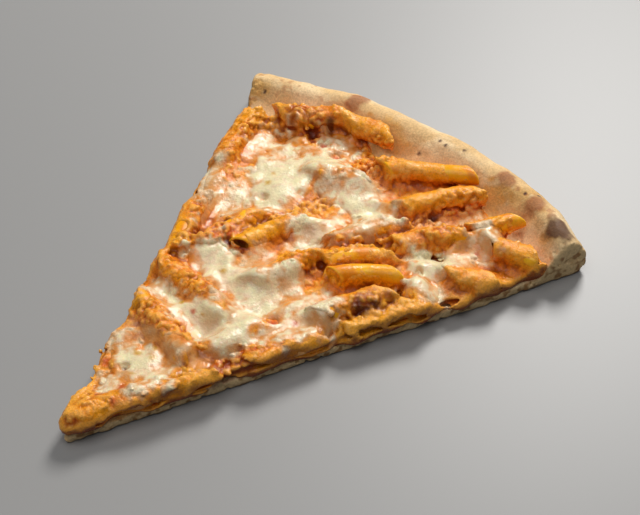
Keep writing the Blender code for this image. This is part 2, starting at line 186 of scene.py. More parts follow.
# A tube of penne: its place, its two ends in plan and their heights, how far it bows to the left,
# how thick the sauce lies on its two ends, less than nothing where it is bare, whether the knife
# cut it, and whether its mouths stand open.
Tube = namedtuple("Tube", "place start end heights bow coat cut open", defaults=(False, False))
TUBES = (
    Tube("rim_long", (191, 2), (211, -32), (13.2, 16.4), 1.0, (0.5, -0.5)),
    Tube("rim_second", (178, -19), (206, -39), (12.0, 13.5), 1.0, (0.6, -0.2)),
    Tube("rim_third", (160.5, -32.5), (181.5, -48.5), (11.0, 12.0), 0.5, (0.9, 0.4)),
    Tube("rim_fourth", (187.5, -52), (203, -61.5), (12.5, 14.0), 0.3, (0.2, -0.6)),
    Tube("rim_left", (190, 65), (204, 41), (12.5, 15.0), -4.0, (0.5, 0.9)),
    Tube("rim_upper", (204.5, 32.5), (207.5, 14), (14.0, 15.2), 0.5, (0.6, 0.9)),
    Tube("rim_middle", (170, 21), (181, 7), (11.0, 11.5), 0.5, (0.8, 0.9)),
    Tube("edge_open", (184.5, -63), (190, -79.5), (12.8, 12.3), 0, (0.6, 0.2), True, True),
    Tube("edge_short", (160, -60), (170, -74), (10.5, 9.5), 0, (0.7, 0.4), True),
    Tube("centre_yellow", (126.5, -25), (144.5, -44), (13.5, 13.0), 1.5, (-0.6, 0.0)),
    Tube("centre_behind", (131, -15.5), (151, -30.5), (11.5, 10.5), 1.0, (0.3, 0.6)),
    Tube("near_hollow", (107.5, -35.5), (132, -46.5), (12.8, 12.6), 0.5, (0.6, 0.6)),
    Tube("near_hanging", (146, -51), (139, -63), (11.0, 8.5), 0, (0.6, 0.2), True),
    Tube("middle_mouth", (106, -3), (128, -9), (11.0, 11.5), 0.5, (0.5, 0.7)),
    Tube("middle_right", (145, -12), (168, -22), (10.5, 10.5), 1.0, (0.8, 0.8)),
    Tube("left_mouth", (115, 17), (143, 9), (12.0, 11.0), 1.0, (-0.3, 0.9), False, True),
    Tube("left_edge", (97, 36), (123, 50), (10.5, 11.0), 1.0, (0.6, 0.7)),
    Tube("left_inner", (104, 29), (131, 27), (11.0, 10.5), -1.0, (0.7, 0.9)),
    Tube("left_upper", (151, 62), (180, 73), (10.5, 11.0), 0.5, (0.8, 0.8)),
    Tube("ridge_far", (85, 33), (84, -3), (10.8, 11.2), 0.5, (0.6, 0.8)),
    Tube("ridge_near", (66, 27), (58, -9), (11.0, 10.5), 0.5, (0.1, 0.9)),
    Tube("tip", (8, 0), (29, -8), (9.0, 9.2), 0.5, (0.5, 0.6), True),
    Tube("front_cut", (33, -13), (56, -23), (9.0, 9.0), 0, (0.5, 0.4), True),
    Tube("near_front", (64.5, -15.5), (88, -21), (10.5, 10.5), 0.5, (0.8, 0.8)),
    Tube("near_side", (73, -30), (99, -41), (9.0, 9.0), 0, (0.3, 0.2), True),
    Tube("near_back", (111, -47.3), (134, -57.3), (9.0, 9.0), 0, (0.2, 0.1), True),
)

# A patch of curdled sauce: its middle, its two radii, its heading in degrees, how many loose
# crumbs lie on it, how curdled it is, and its colour.
Patch = namedtuple("Patch", "middle radii heading crumbs curd tint")
PATCHES = [Patch(*row) for row in (
    ((17, 5), (12, 4), 25, 40, 0.8, "pale"),
    ((32, 12), (15, 5), 25, 60, 0.9, "pale"),
    ((9, -2.5), (8, 2.5), -15, 0, 0.5, "brown"),
    ((22, -8), (4, 3), 0, 0, 0.4, "red"),
    ((36, 14), (3, 3), 0, 0, 0.4, "red"),
    ((16, -4), (10, 3), -20, 14, 0.9, "red"),
    ((40, -13), (14, 4), -24, 40, 1.0, "golden"),
    ((38, -17), (12, 3), -25, 10, 0.9, "orange"),
    ((86, -33), (20, 4), -24, 40, 1.0, "orange"),
    ((56, 14), (5, 8), 0, 10, 0.5, "rose"),
    ((56, -18), (5, 8), 20, 0, 0.2, "golden"),
    ((63, 8), (6, 18), 3, 110, 1.0, "orange"),
    ((65, 28), (4, 7), -20, 0, 0.2, "penne"),
    ((87, 27), (5, 9), 5, 16, 0.5, "orange"),
    ((86, 12), (4.5, 10), 5, 30, 0.9, "orange"),
    ((97, 35), (6, 5), 30, 30, 0.9, "golden"),
    ((63, -25), (6, 4), -20, 26, 1.0, "red"),
    ((75, -27), (5, 4), -20, 26, 1.0, "red"),
    ((66, -27), (12, 3), -23, 10, 0.9, "brown"),
    ((93, -22), (3, 5), -40, 0, 0.2, "orange"),
    ((104, -23), (5, 3), 0, 24, 0.8, "penne"),
    ((106, 40), (5, 6), 20, 0, 0.5, "brown"),
    ((116, 48), (9, 5), 25, 20, 0.6, "orange"),
    ((107, 33), (4, 4), 0, 10, 0.9, "ember"),
    ((119, 33), (11, 4), 5, 30, 0.8, "orange"),
    ((113, 24), (6, 9), 0, 40, 1.0, "red"),
    ((128, 17), (9, 6), -20, 6, 0.3, "penne"),
    ((126, 50), (4, 3), 20, 4, 0.6, "ember"),
    ((142, 51), (4, 4), 20, 6, 0.6, "orange"),
    ((150, 13), (16, 5), -15, 90, 1.0, "pale"),
    ((124, -2), (8, 4), -5, 6, 0.3, "penne"),
    ((127, -10), (13, 6), -20, 40, 0.7, "orange"),
    ((141, -16), (11, 5), -25, 40, 0.8, "orange"),
    ((141, -27), (3, 2.5), 0, 0, 0.3, "ember"),
    ((149, 63), (5, 3), 25, 0, 0.5, "orange"),
    ((168, 70), (17, 6), 25, 60, 0.9, "orange"),
    ((181, 66), (6, 9), 0, 30, 0.8, "pale"),
    ((193, 53), (5, 10), 10, 24, 0.8, "brown"),
    ((203, 50), (7, 15), 5, 20, 0.3, "orange"),
    ((190, 36), (6, 12), 0, 40, 1.0, "red"),
    ((205, 31), (5, 6), 0, 0, 0.3, "golden"),
    ((195, 12), (9, 10), 20, 90, 1.0, "orange"),
    ((179, 12), (6, 12), 25, 16, 0.4, "rose"),
    ((164, -12), (3, 8), 10, 24, 0.9, "pale"),
    ((155, -28), (9, 6), -25, 16, 0.6, "golden"),
    ((176, -31), (9, 4), -35, 50, 0.9, "pale"),
    ((176, -42), (12, 5), -35, 30, 0.6, "orange"),
    ((197, -37), (11, 4), -40, 40, 0.8, "red"),
    ((193, -58), (8, 4), -40, 36, 0.9, "red"),
    ((174, -56), (5, 5), -30, 20, 0.8, "pink"),
    ((167, -66), (8, 6), -30, 6, 0.4, "orange"),
    ((191, -72), (10, 7), -25, 6, 0.4, "orange"),
    ((108, -42), (9, 5), -20, 30, 0.8, "golden"),
    ((122, -46), (7, 5), -25, 10, 0.7, "brown"),
    ((140, -53), (12, 8), -25, 16, 0.5, "golden"),
    ((120, -51), (16, 4), -23, 20, 0.9, "golden"),
)]

# A round of cheese: its middle, its two radii, its heading in degrees, its thickness, which is 0
# where it only tints the sauce, and how white it is.
Round = namedtuple("Round", "middle radii heading depth milk")
CHEESE = [Round(*row) for row in (
    ((163, 38), (24, 16), 25, 2.4, 1.0),
    ((176, 30), (11, 17), 0, 2.4, 1.0),
    ((152, 30), (17, 11), 15, 2.2, 1.0),
    ((133, 41), (18, 11), 22, 0.8, 0.72),
    ((136, 55), (18, 5), 23, 0.8, 0.7),
    ((170, 57), (11, 5), 20, 0.8, 0.7),
    ((146, 0), (16, 6.5), -8, 2.2, 1.0),
    ((170, -3), (11, 17), -10, 1.6, 0.9),
    ((167, 12), (6, 9), 0, 1.0, 0.8),
    ((152, -15), (10, 4), -30, 0.9, 0.75),
    ((100, 7), (10, 19.5), -5, 2.3, 1.0),
    ((99, -8), (12, 14), 0, 2.3, 1.0),
    ((114, 6), (11, 8), 0, 0.9, 0.6),
    ((112, -13), (8, 8), 0, 1.6, 0.8),
    ((97, -31), (17, 10), -20, 1.2, 0.68),
    ((112, -26), (12, 6), -10, 1.3, 0.66),
    ((75, 2), (8.5, 21), 6, 2.2, 1.0),
    ((75, 25), (6, 6), 0, 1.4, 0.72),
    ((72, -16), (12, 7), -20, 1.4, 0.85),
    ((86, -13), (9, 9), 0, 1.8, 0.95),
    ((86, 3), (6, 7), 0, 0.7, 0.5),
    ((44, 0), (10, 13), 10, 2.2, 0.97),
    ((30, 4), (8, 6), 20, 0.8, 0.65),
    ((34, -9), (8, 5), -10, 0.8, 0.55),
    ((46, 14), (8, 6), 0, 0.8, 0.6),
    ((56, -4), (5, 14), 5, 0.7, 0.5),
    ((158, -49), (13, 9), -30, 1.9, 1.0),
    ((168, -55), (10, 7), -20, 1.4, 0.85),
    ((182, -59), (10, 8), -20, 1.0, 0.68),
    ((183, -37), (13, 5), -40, 0, 0.42),
    ((197, -44), (8, 5), -40, 0, 0.4),
    ((147, -57), (7, 8), 0, 1.0, 0.68),
    ((193, 30), (6, 13), 0, 0.7, 0.55),
)]

# A pit in the toppings: its place, radius and depth, and the colour painted in it, which in the
# darkest pits is painted shade.
Pit = namedtuple("Pit", "place radius depth tint")
PITS = [Pit(*row) for row in (
    ((98, -30), 1.8, 0.5, "ember"),
    ((109, -31), 1.8, 0.5, "ember"),
    ((30, -3), 2.6, 0.6, "ember"),
    ((22, -7), 2.0, 0.5, "ember"),
    ((36, 14), 2.0, 0.4, "ember"),
    ((38, 5), 1.3, 0.7, "pit_shade"),
    ((37, -1), 1.2, 0.5, "oil"),
    ((53, -13), 1.5, 0.9, "pit_shade"),
    ((46, 6), 1.9, 0.3, "oil"),
    ((48, -1), 1.9, 0.4, "oil"),
    ((52, 2), 1.2, 0.3, "oil"),
    ((76, 12), 1.4, 0.6, "oil"),
    ((75, 4), 1.8, 0.4, "ember"),
    ((76, 0), 1.2, 0.3, "oil"),
    ((71, 8), 1.0, 0.4, "oil"),
    ((100, 12), 1.6, 0.3, "oil"),
    ((93, -22), 2.6, 0.8, "ember"),
    ((115, 17), 2.4, 2.0, "pit_shade"),
    ((120, 30), 2.0, 1.6, "pit_shade"),
    ((112, 22), 1.8, 1.4, "pit_shade"),
    ((129, -16), 1.6, 1.8, "pit_shade"),
    ((152, 36), 1.8, 0.3, "oil"),
    ((158, 39), 1.2, 0.3, "oil"),
    ((144, 32), 1.6, 0.7, "rose"),
    ((165, 4), 1.8, 0.5, "rose"),
    ((157, -2), 1.2, 0.3, "oil"),
    ((152, -48), 1.8, 0.9, "rose"),
    ((178, -59), 1.4, 0.5, "ember"),
    ((187, 27), 1.8, 1.0, "ember"),
    ((189, 36), 1.8, 0.9, "ember"),
    ((188, 54), 2.4, 0.5, "brown"),
    ((190, 44), 2.4, 1.2, "pit_shade"),
    ((197, 40), 2.0, 0.5, "pit_shade"),
    ((150, -28), 2.0, 1.0, "brown"),
    ((158, -28), 1.8, 0.9, "brown"),
    ((119, -46), 3.6, 0.5, "pit_shade"),
    ((125, -49), 3.4, 0.5, "pit_shade"),
    ((131, -51), 2.6, 0.5, "brown"),
    ((184, -31.5), 1.8, 1.0, "pit_shade"),
    ((105, 42), 3.4, 1.4, "pit_shade"),
)]

# The fields that the toppings' colours are read from: distance to the tubes, the toppings evened
# out widely and just enough to lose the crumbs, whiteness, and the height of the top.
Under = namedtuple("Under", "tubes evened crumbs milk heights")

# A string of cheese: its two ends, its radius, and how far its middle line lies over the toppings.
Strand = namedtuple("Strand", "start end radius lift")
STRANDS = (
    Strand((192, 42), (197, 29), 0.7, -0.1),
    Strand((186, 40), (192, 25), 0.8, -0.3),
)

# A place on the rim where the dough baked differently, and one hollow given painted shade: its
# middle, its two radii, its heading in degrees, how far the dough stands out there, and its colour.
ScorchOrShade = namedtuple("ScorchOrShade", "middle radii heading height tint")
SCORCHES_AND_SHADE = (
    ScorchOrShade((219, -44), (5, 6), 0, 0.3, "crust_brown"),
    ScorchOrShade((212, -12), (9, 14), 0, 0.7, "crust_pale"),
    ScorchOrShade((216, 40), (6, 5), 10, 0.5, "crust_brown"),
    ScorchOrShade((191, 88), (4, 4), 0, 0.2, "crust_brown"),
    ScorchOrShade((203, -80), (6, 6), 0, 0.3, "crust_gold"),
    ScorchOrShade((208, -42), (8, 9), 0, 0.2, "crust_gold"),
    # painted shade in a hollow of the rim
    ScorchOrShade((213, 18), (7, 12), 0, -0.3, "crust_gold"),
    ScorchOrShade((196, 84), (5, 6), 20, 0.0, "crust_gold"),
    ScorchOrShade((213, -63), (6, 5), 0, 0.8, "crust_brown"),
    ScorchOrShade((204.5, -81), (5.0, 6.6), -18, 0.9, "crust_burnt"),
)

# Burnt specks on the rim
SPECKS = ((219, -10), (220, -6), (221, -19), (213, 0), (227, 12), (197, 81), (216, -56), (219, -61))

# Where the whiteness passes from one of the two numbers to the other, the colour covers those
# before it.
MILK_SHADES = (
    ("cheese_thin", 0.08, 0.35),
    ("cheese_rose", 0.28, 0.6),
    ("cheese", 0.56, 0.86),
    ("cheese_pool", 0.85, 1.05),
)

# Colours as seen, in parts of 255
COLOURS = {
    "sauce": (222, 122, 22),
    # painted light on the toppings' crests
    "sauce_crest_light": (246, 166, 44),
    # painted shade in the creases, between the crumbs and down the sides of the cuts
    "sauce_painted_shade": (124, 40, 2),
    # painted light on the crumbs' tips
    "curd": (250, 184, 80),
    "orange": (230, 124, 14),
    "golden": (230, 152, 34),
    "red": (214, 92, 18),
    "brown": (158, 72, 8),
    "pale": (236, 156, 48),
    "pink": (226, 166, 118),
    "rose": (214, 152, 108),
    "penne": (252, 168, 8),
    "penne_pale": (252, 192, 52),
    # a deeper tone of the pasta, also painted shade inside the tubes' bores
    "penne_deep_and_shade": (218, 110, 4),
    "cheese": (234, 212, 176),
    "cheese_pool": (232, 220, 176),
    "cheese_rose": (222, 172, 118),
    "cheese_thin": (226, 146, 66),
    # painted shade in the darkest pits
    "pit_shade": (84, 26, 10),
    "ember": (186, 66, 14),
    "oil": (206, 156, 44),
    "crust": (222, 184, 128),
    "crust_pale": (240, 212, 166),
    "crust_gold": (208, 158, 82),
    "crust_brown": (158, 96, 52),
    "crust_burnt": (66, 28, 26),
    "crumb": (214, 184, 134),
    "crumb_pore": (146, 106, 60),
    "underside": (186, 132, 76),
    "toasted": (96, 54, 28),
}


def linear(name):
    """A named colour as Blender's linear red, green and blue."""
    share = np.array(COLOURS[name]) / 255
    return np.where(share <= 0.04045, share / 12.92, ((share + 0.055) / 1.055) ** 2.4)


def smooth_step(value, start, end):
    """From 0 at the start to 1 at the end, whichever of them is the larger."""
    share = np.clip((value - start) / (end - start), 0, 1)
    return share * share * (3 - 2 * share)


def smooth_min(first, second, blend):
    """The lower of two fields, rounded off where they cross."""
    near = np.maximum(blend - np.abs(first - second), 0) / blend
    return np.minimum(first, second) - near * near * blend / 4


def smooth_max(first, second, blend):
    return -smooth_min(-first, -second, blend)


class Grid:
    """Evenly spaced points in a box, in millimetres."""

    def __init__(self, low, high, cell):
        self.low = np.array(low, np.float32)
        self.cell = cell
        self.counts = np.ceil((np.array(high) - self.low) / cell).astype(int) + 1
        self.axes = [self.low[i] + cell * np.arange(self.counts[i], dtype=np.float32) for i in range(3)]

    def mesh(self, part=(slice(None),) * 3):
        """The points' x, y and z, in shapes that spread over that part of the grid."""
        x, y, z = (axis[cut] for axis, cut in zip(self.axes, part))
        return x[:, None, None], y[None, :, None], z[None, None, :]

    def part(self, points, margin):
        """The slices of the grid that hold these points and this much round them."""
        first = np.floor((np.min(points, axis=0) - margin - self.low) / self.cell).astype(int)
        last = np.ceil((np.max(points, axis=0) + margin - self.low) / self.cell).astype(int) + 1
        return tuple(slice(max(a, 0), max(b, 0)) for a, b in zip(first, last))


def spread(field, places, axis):
    """The field along one axis, from whole-numbered knots to these places, as a smooth spline."""
    base = np.floor(places).astype(int)
    share = (places - base).astype(np.float32)
    weights = (
        (1 - share) ** 3 / 6,
        2 / 3 - share**2 + share**3 / 2,
        2 / 3 - (1 - share) ** 2 + (1 - share) ** 3 / 2,
        share**3 / 6,
    )
    shape = [-1 if i == axis else 1 for i in range(field.ndim)]
    first = base.min() - 1
    total = 0
    for step, weight in enumerate(weights):
        total = total + weight.reshape(shape) * np.take(field, base - 1 + step - first, axis)
    return total


def knots_of(places):
    """The whole-numbered knots that spread needs for these places."""
    return np.arange(math.floor(places.min()) - 1, math.floor(places.max()) + 3)


def lumps(grid, *layers, flat=False):
    """The sum of the layers' unevenness, mostly within twice their heights. Flat ones are the same
    at all heights."""
    total = 0
    for layer in layers:
        axes = [axis / layer.size for axis in (grid.axes[:2] if flat else grid.axes)]
        counts = [len(knots_of(axis)) for axis in axes]
        field = np.random.default_rng(layer.seed).standard_normal(counts).astype(np.float32)
        for axis, places in enumerate(axes):
            field = spread(field, places, axis)
        total = total + layer.height * (field / field.std())
    return total[:, :, None] if flat else total


def blurred(field, reach):
    """The field averaged with its surroundings, twice, out to this many cells each time."""
    for axis in (0, 1, 2, 0, 1, 2):
        widths = [(reach + 1, reach) if i == axis else (0, 0) for i in range(3)]
        total = np.cumsum(np.pad(field, widths, mode="edge"), axis=axis, dtype=np.float64)
        count = field.shape[axis]
        high = np.take(total, np.arange(2 * reach + 1, 2 * reach + 1 + count), axis)
        low = np.take(total, np.arange(count), axis)
        field = ((high - low) / (2 * reach + 1)).astype(np.float32)
    return field


def sample(field, grid, points):
    """The field's values at these points, between its own by straight lines."""
    places = (points - grid.low) / grid.cell
    base = np.clip(np.floor(places).astype(int), 0, np.array(field.shape) - 2)
    share = np.clip(places - base, 0, 1)
    total = np.zeros(len(points))
    for corner in np.ndindex(2, 2, 2):
        weight = np.prod(np.where(corner, share, 1 - share), axis=1)
        total += weight * field[tuple((base + corner).T)]
    return total


def sample_flat(field, grid, points):
    """As sample, for a field with one layer."""
    return sample(np.repeat(field, 2, axis=2), grid, points * (1, 1, 0) + (0, 0, grid.low[2]))


def surface(field, grid):
    """Points and four-sided faces of the field's zero surface: one point for each cell that the
    surface passes through, and one face for each grid edge that it crosses."""
    inside = field < 0
    cells, crossings = [], []
    for axis in range(3):
        step = np.eye(3, dtype=int)[axis]
        before = inside[tuple(slice(None, -1) if i == axis else slice(None) for i in range(3))]
        after = inside[tuple(slice(1, None) if i == axis else slice(None) for i in range(3))]
        starts = np.argwhere(before != after)
        first, second = field[tuple(starts.T)], field[tuple((starts + step).T)]
        crossing = starts + step * (first / (first - second))[:, None]
        u, v = np.eye(3, dtype=int)[[(axis + 1) % 3, (axis + 2) % 3]]
        around = np.stack([starts, starts - u, starts - u - v, starts - v], axis=1)
        outward = first < 0
        around[~outward] = around[~outward][:, ::-1]
        cells.append(around)
        crossings.append(np.repeat(crossing[:, None], 4, axis=1))
    cells, crossings = np.concatenate(cells), np.concatenate(crossings)
    flat = np.ravel_multi_index(tuple(cells.reshape(-1, 3).T), field.shape)
    _, index = np.unique(flat, return_inverse=True)
    index = index.reshape(-1)
    counts = np.bincount(index)
    sums = [np.bincount(index, crossings.reshape(-1, 3)[:, i]) for i in range(3)]
    points = grid.low + grid.cell * np.stack(sums, axis=1) / counts[:, None]
    return points, index.reshape(-1, 4)


def main_bodies(points, quads, least):
    """Without the loose bodies of fewer points than this."""
    label = np.arange(len(points))
    while True:
        low = label[quads].min(axis=1)
        lower = label.copy()
        np.minimum.at(lower, quads.ravel(), np.repeat(low, 4))
        lower = lower[lower]
        if (lower == label).all():
            break
        label = lower
    sizes = np.bincount(label, minlength=len(points))
    kept = sizes[label] >= least
    number = np.cumsum(kept) - 1
    return points[kept], number[quads[kept[quads[:, 0]]]]


def settled(points, field, grid):
    """The points moved onto the field's zero surface, which evens out their steps."""
    reach = 0.5 * grid.cell
    for _ in range(2):
        value = sample(field, grid, points)
        rises = [
            sample(field, grid, points + reach * step) - sample(field, grid, points - reach * step)
            for step in np.eye(3)
        ]
        slope = np.stack(rises, axis=1) / (2 * reach)
        steep = np.maximum((slope * slope).sum(axis=1, keepdims=True), LEAST_STEEPNESS)
        points = points - np.clip(value[:, None] * slope / steep, -reach, reach)
    return points


def mesh_of(name, points, faces):
    """A mesh in the frame's metres, from points in millimetres from the tip."""
    mesh = bpy.data.meshes.new(name)
    world = (points + (TIP_X, 0, 0)) * MM
    mesh.vertices.add(len(world))
    mesh.vertices.foreach_set("co", world.astype(np.float32).ravel())
    mesh.loops.add(faces.size)
    mesh.loops.foreach_set("vertex_index", faces.astype(np.int32).ravel())
    mesh.polygons.add(len(faces))
    mesh.polygons.foreach_set("loop_start", np.arange(0, faces.size, faces.shape[1], dtype=np.int32))
    mesh.update()
    mesh.validate()
    mesh.shade_smooth()
    return mesh


def piece_from(name, field, grid, most=None, least=LEAST_POINTS):
    """An object made of the field's zero surface, with at most so many triangles, and without
    loose bodies of fewer points than the least."""
    points, quads = main_bodies(*surface(field, grid), least)
    made = bpy.data.objects.new(name, mesh_of(name, settled(points, field, grid), quads))
    bpy.context.scene.collection.objects.link(made)
    if most and 2 * len(quads) > most:
        modifier = made.modifiers.new("fewer", "DECIMATE")
        modifier.ratio = most / (2 * len(quads))
        bpy.context.view_layer.update()
        evaluated = made.evaluated_get(bpy.context.evaluated_depsgraph_get())
        fewer = bpy.data.meshes.new_from_object(evaluated)
        made.modifiers.clear()
        made.data = fewer
        fewer.shade_smooth()
    return made


def places_of(made):
    """Its points in millimetres from the tip, and their normals."""
    mesh = made.data
    points = np.empty(len(mesh.vertices) * 3, np.float32)
    mesh.vertices.foreach_get("co", points)
    normals = np.empty(len(mesh.vertices) * 3, np.float32)
    mesh.vertex_normals.foreach_get("vector", normals)
    return points.reshape(-1, 3) / MM - (TIP_X, 0, 0), normals.reshape(-1, 3)


def paint(made, colour, wet):
    """Keeps a colour and a wetness for each point, which the materials read."""
    made.data.attributes.new("colour", "FLOAT_COLOR", "POINT")
    values = np.concatenate([np.clip(colour, 0, 1), np.ones((len(colour), 1))], axis=1)
    made.data.attributes["colour"].data.foreach_set("color", values.astype(np.float32).ravel())
    made.data.attributes.new("wet", "FLOAT", "POINT")
    made.data.attributes["wet"].data.foreach_set("value", np.clip(wet, 0, 1).astype(np.float32))


def mixed(first, second, share):
    return first + (second - first) * np.asarray(share)[:, None]


def tinted(colour, *tints):
    """The colours with others mixed in. A tint is a colour's name, a value that it follows, the
    largest share that it reaches, and the values at which it starts and is complete."""
    for name, value, most, start, end in tints:
        colour = mixed(colour, linear(name), most * smooth_step(value, start, end))
    return colour


def oval(spot, x, y):
    """How far places are from the middle of an oval spot, where 1 is on its outline."""
    turn = math.radians(spot.heading)
    ahead = (x - spot.middle[0]) * math.cos(turn) + (y - spot.middle[1]) * math.sin(turn)
    aside = (y - spot.middle[1]) * math.cos(turn) - (x - spot.middle[0]) * math.sin(turn)
    return np.hypot(ahead / spot.radii[0], aside / spot.radii[1])


def knife(x, y):
    """Distance outside the nearer of the two cuts, negative between them."""
    return np.abs(y) * math.cos(HALF_ANGLE) - x * math.sin(HALF_ANGLE)


def packed_crust(grid):
    """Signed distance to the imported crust, negative inside, spread from coarser samples."""
    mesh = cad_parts["crust"].data
    tree = BVHTree.FromPolygons([v.co[:] for v in mesh.vertices], [p.vertices[:] for p in mesh.polygons])
    axes = [knots_of(axis / CRUST_SAMPLES) for axis in grid.axes]
    coarse = np.empty([len(axis) for axis in axes], np.float32)
    high = Vector((0, 0, 1))
    for i, u in enumerate(axes[0]):
        for j, v in enumerate(axes[1]):
            outside = knife(u * CRUST_SAMPLES, v * CRUST_SAMPLES)
            if outside > FAR:
                coarse[i, j] = outside
                continue
            x, y = (u * CRUST_SAMPLES + TIP_X) * MM, v * CRUST_SAMPLES * MM
            top = tree.ray_cast(Vector((x, y, 0)) + high, -high)[0]
            bottom = tree.ray_cast(Vector((x, y, 0)) - high, high)[0]
            for k, w in enumerate(axes[2]):
                z = w * CRUST_SAMPLES * MM
                apart = tree.find_nearest(Vector((x, y, z)))[3] / MM
                within = top is not None and bottom.z < z < top.z
                coarse[i, j, k] = -apart if within else apart
    for axis, places in enumerate(grid.axes):
        coarse = spread(coarse, places / CRUST_SAMPLES, axis)
    return coarse


def ends_of(tube):
    """The two ends of a tube's middle line."""
    return np.array([(*tube.start, tube.heights[0]), (*tube.end, tube.heights[1])])


def tube_fields(tube, x, y, z):
    """For points round a tube: distance outside its wall, distance past its slanted ends,
    distance outside its bore, and the share of its length."""
    start, end = ends_of(tube)
    length = np.linalg.norm(end - start)
    ahead = (end - start) / length
    side = np.array((-ahead[1], ahead[0], 0)) / math.hypot(ahead[0], ahead[1])
    over = np.cross(ahead, side)
    px, py, pz = x - start[0], y - start[1], z - start[2]
    forward = px * ahead[0] + py * ahead[1] + pz * ahead[2]
    share = np.clip(forward / length, 0, 1)
    across = px * side[0] + py * side[1] - tube.bow * np.sin(math.pi * share)
    up = px * over[0] + py * over[1] + pz * over[2]
    radial = np.hypot(across, up / PENNE_FLATTEN)
    slant = across * PENNE_SLANT
    square = math.hypot(1, PENNE_SLANT)
    ends = np.maximum(slant - forward, forward - length - slant) / square
    return radial - PENNE_RADIUS, ends, radial - PENNE_RADIUS + PENNE_WALL, share


def heights_of(field, grid):
    """Height of the topmost surface over each place, and the lowest height where there is none."""
    inside = field < 0
    last = field.shape[2] - 1 - np.argmax(inside[:, :, ::-1], axis=2)
    return np.where(inside.any(axis=2), grid.axes[2][last], grid.low[2])


def height_at(heights, grid, place):
    i, j = (np.clip(round((place[k] - grid.low[k]) / grid.cell), 0, grid.counts[k] - 1) for k in range(2))
    return float(heights[i, j])


def distance_to_tube(tube, x, y):
    """Distance in plan to a tube's axis."""
    start, end = np.array(tube.start), np.array(tube.end)
    along = end - start
    share = np.clip(((x - start[0]) * along[0] + (y - start[1]) * along[1]) / (along @ along), 0, 1)
    return np.hypot(x - start[0] - share * along[0], y - start[1] - share * along[1])


def ball(grid, middle, radius):
    """The slices of the grid round a ball, and the distance outside the ball there."""
    part = grid.part([middle], radius + BALL_MARGIN)
    x, y, z = grid.mesh(part)
    apart = np.sqrt((x - middle[0]) ** 2 + (y - middle[1]) ** 2 + (z - middle[2]) ** 2)
    return part, apart - radius


def add_ball(grid, field, middle, radius):
    part, outside = ball(grid, middle, radius)
    field[part] = smooth_min(field[part], outside, blend=0.9)


def sauce_layer(grid, crust, edge):
    """The sauce on the crust, heaped up round the tubes, thinning out on the rim and slumping
    over the cuts."""
    x, y, z = grid.mesh()
    shore = np.interp(y, *np.transpose(SHORE)) + lumps(grid, Lump(1.5, 7, 4), flat=True)
    nearest = np.full(shore.shape, NOTHING_NEAR, np.float32)
    for tube in TUBES:
        nearest = np.minimum(nearest, distance_to_tube(tube, x, y))
    depth = SAUCE_DEPTH + SAUCE_BANK * np.exp(-((nearest / SAUCE_BANK_REACH) ** 2))
    depth += lumps(grid, Lump(0.8, 13, 1), Lump(0.5, 6, 2), flat=True)
    climb = smooth_step((x - shore) / SHORE_REACH, start=-0.8, end=0.4)
    depth = depth * (1 - climb) - SHORE_SINK * climb
    depth = depth * (SAUCE_TIP_SHARE + (1 - SAUCE_TIP_SHARE) * smooth_step(x, start=0, end=18))
    slump = SAUCE_SLUMP + lumps(grid, Lump(0.8, 7, 5))
    hem = BED_TOP - SAUCE_HEM - lumps(grid, Lump(0.9, 5, 6), flat=True)
    side = smooth_max(edge - slump, hem - z, blend=1.2)
    return smooth_max(crust - depth, side, blend=2.2)


def curdled(grid, tubes):
    """How far the sauce has curdled, from 0 to 1: as its patch has, less on the tubes and at the
    cuts, and not at all on the bed."""
    x, y, z = grid.mesh()
    strength = np.full(np.broadcast(x, y).shape, CURD_PLAIN, np.float32)
    for patch in PATCHES:
        within = smooth_step(CURD_REACH - oval(patch, x, y), start=0, end=0.6)
        strength = np.maximum(strength, within * patch.curd)
    smooth = smooth_step(-tubes, start=-1.0, end=0.3)
    curd = strength * (1 - CURD_TUBE_LOSS * smooth) * smooth_step(z, BED_TOP, BED_TOP + CURD_RISE)
    return curd * (1 - CURD_CUT_LOSS * smooth_step(knife(x, y), start=-5, end=-1))


def groove(grid):
    """Distance outside the hollow line that runs along the cuts, under the toppings' brow."""
    x, y, z = grid.mesh()
    middle = GROOVE_HEIGHT + lumps(grid, Lump(0.9, 9, 45), flat=True)
    width = (GROOVE_WIDTH + lumps(grid, Lump(0.9, 6, 46), flat=True)) * smooth_step(x, start=6, end=22)
    width = width * (1 - GROOVE_LEFT_LOSS * (1 + np.sign(y)) / 2)
    width = width - GROOVE_END_LOSS * smooth_step(x, start=140, end=160)
    return np.hypot(knife(x, y) - GROOVE_SHIFT, (z - middle) * GROOVE_FLATTEN) - width


def grow_sauce(grid, crust):
    """The sauce with the penne's outlines in it, and the distance to the nearest tube."""
    edge = crust[:, :, [int((EDGE_HEIGHT - grid.low[2]) / grid.cell)]]
    sauce = sauce_layer(grid, crust, edge)
    tubes = np.full_like(sauce, NOTHING_NEAR)
    uneven = lumps(grid, Lump(1, 4.5, 7))
    for tube in TUBES:
        part = grid.part(ends_of(tube), TUBE_MARGIN)
        wall, ends, _, share = tube_fields(tube, *grid.mesh(part))
        coat = tube.coat[0] + (tube.coat[1] - tube.coat[0]) * share
        coat = coat + COAT_WAVER * np.maximum(uneven[part], COAT_LOWEST)
        body = smooth_max(wall - coat, ends - coat - COAT_END, blend=1.5)
        if tube.cut:
            cut = edge[part[0], part[1]] - CUT_COAT - CUT_COAT * uneven[part]
            body = smooth_max(body, cut, blend=1.5)
        sauce[part] = smooth_min(sauce[part], body, SAUCE_BLEND)
        tubes[part] = np.minimum(tubes[part], np.maximum(wall, ends))
    billows = Lump(0.5, 2.4, 8), Lump(0.45, 1.3, 9)
    billow = sum(np.abs(lumps(grid, layer)) for layer in billows) - CURD_LEVEL
    sauce = sauce - curdled(grid, tubes) * billow
    return smooth_max(sauce, -groove(grid), blend=1.2), tubes


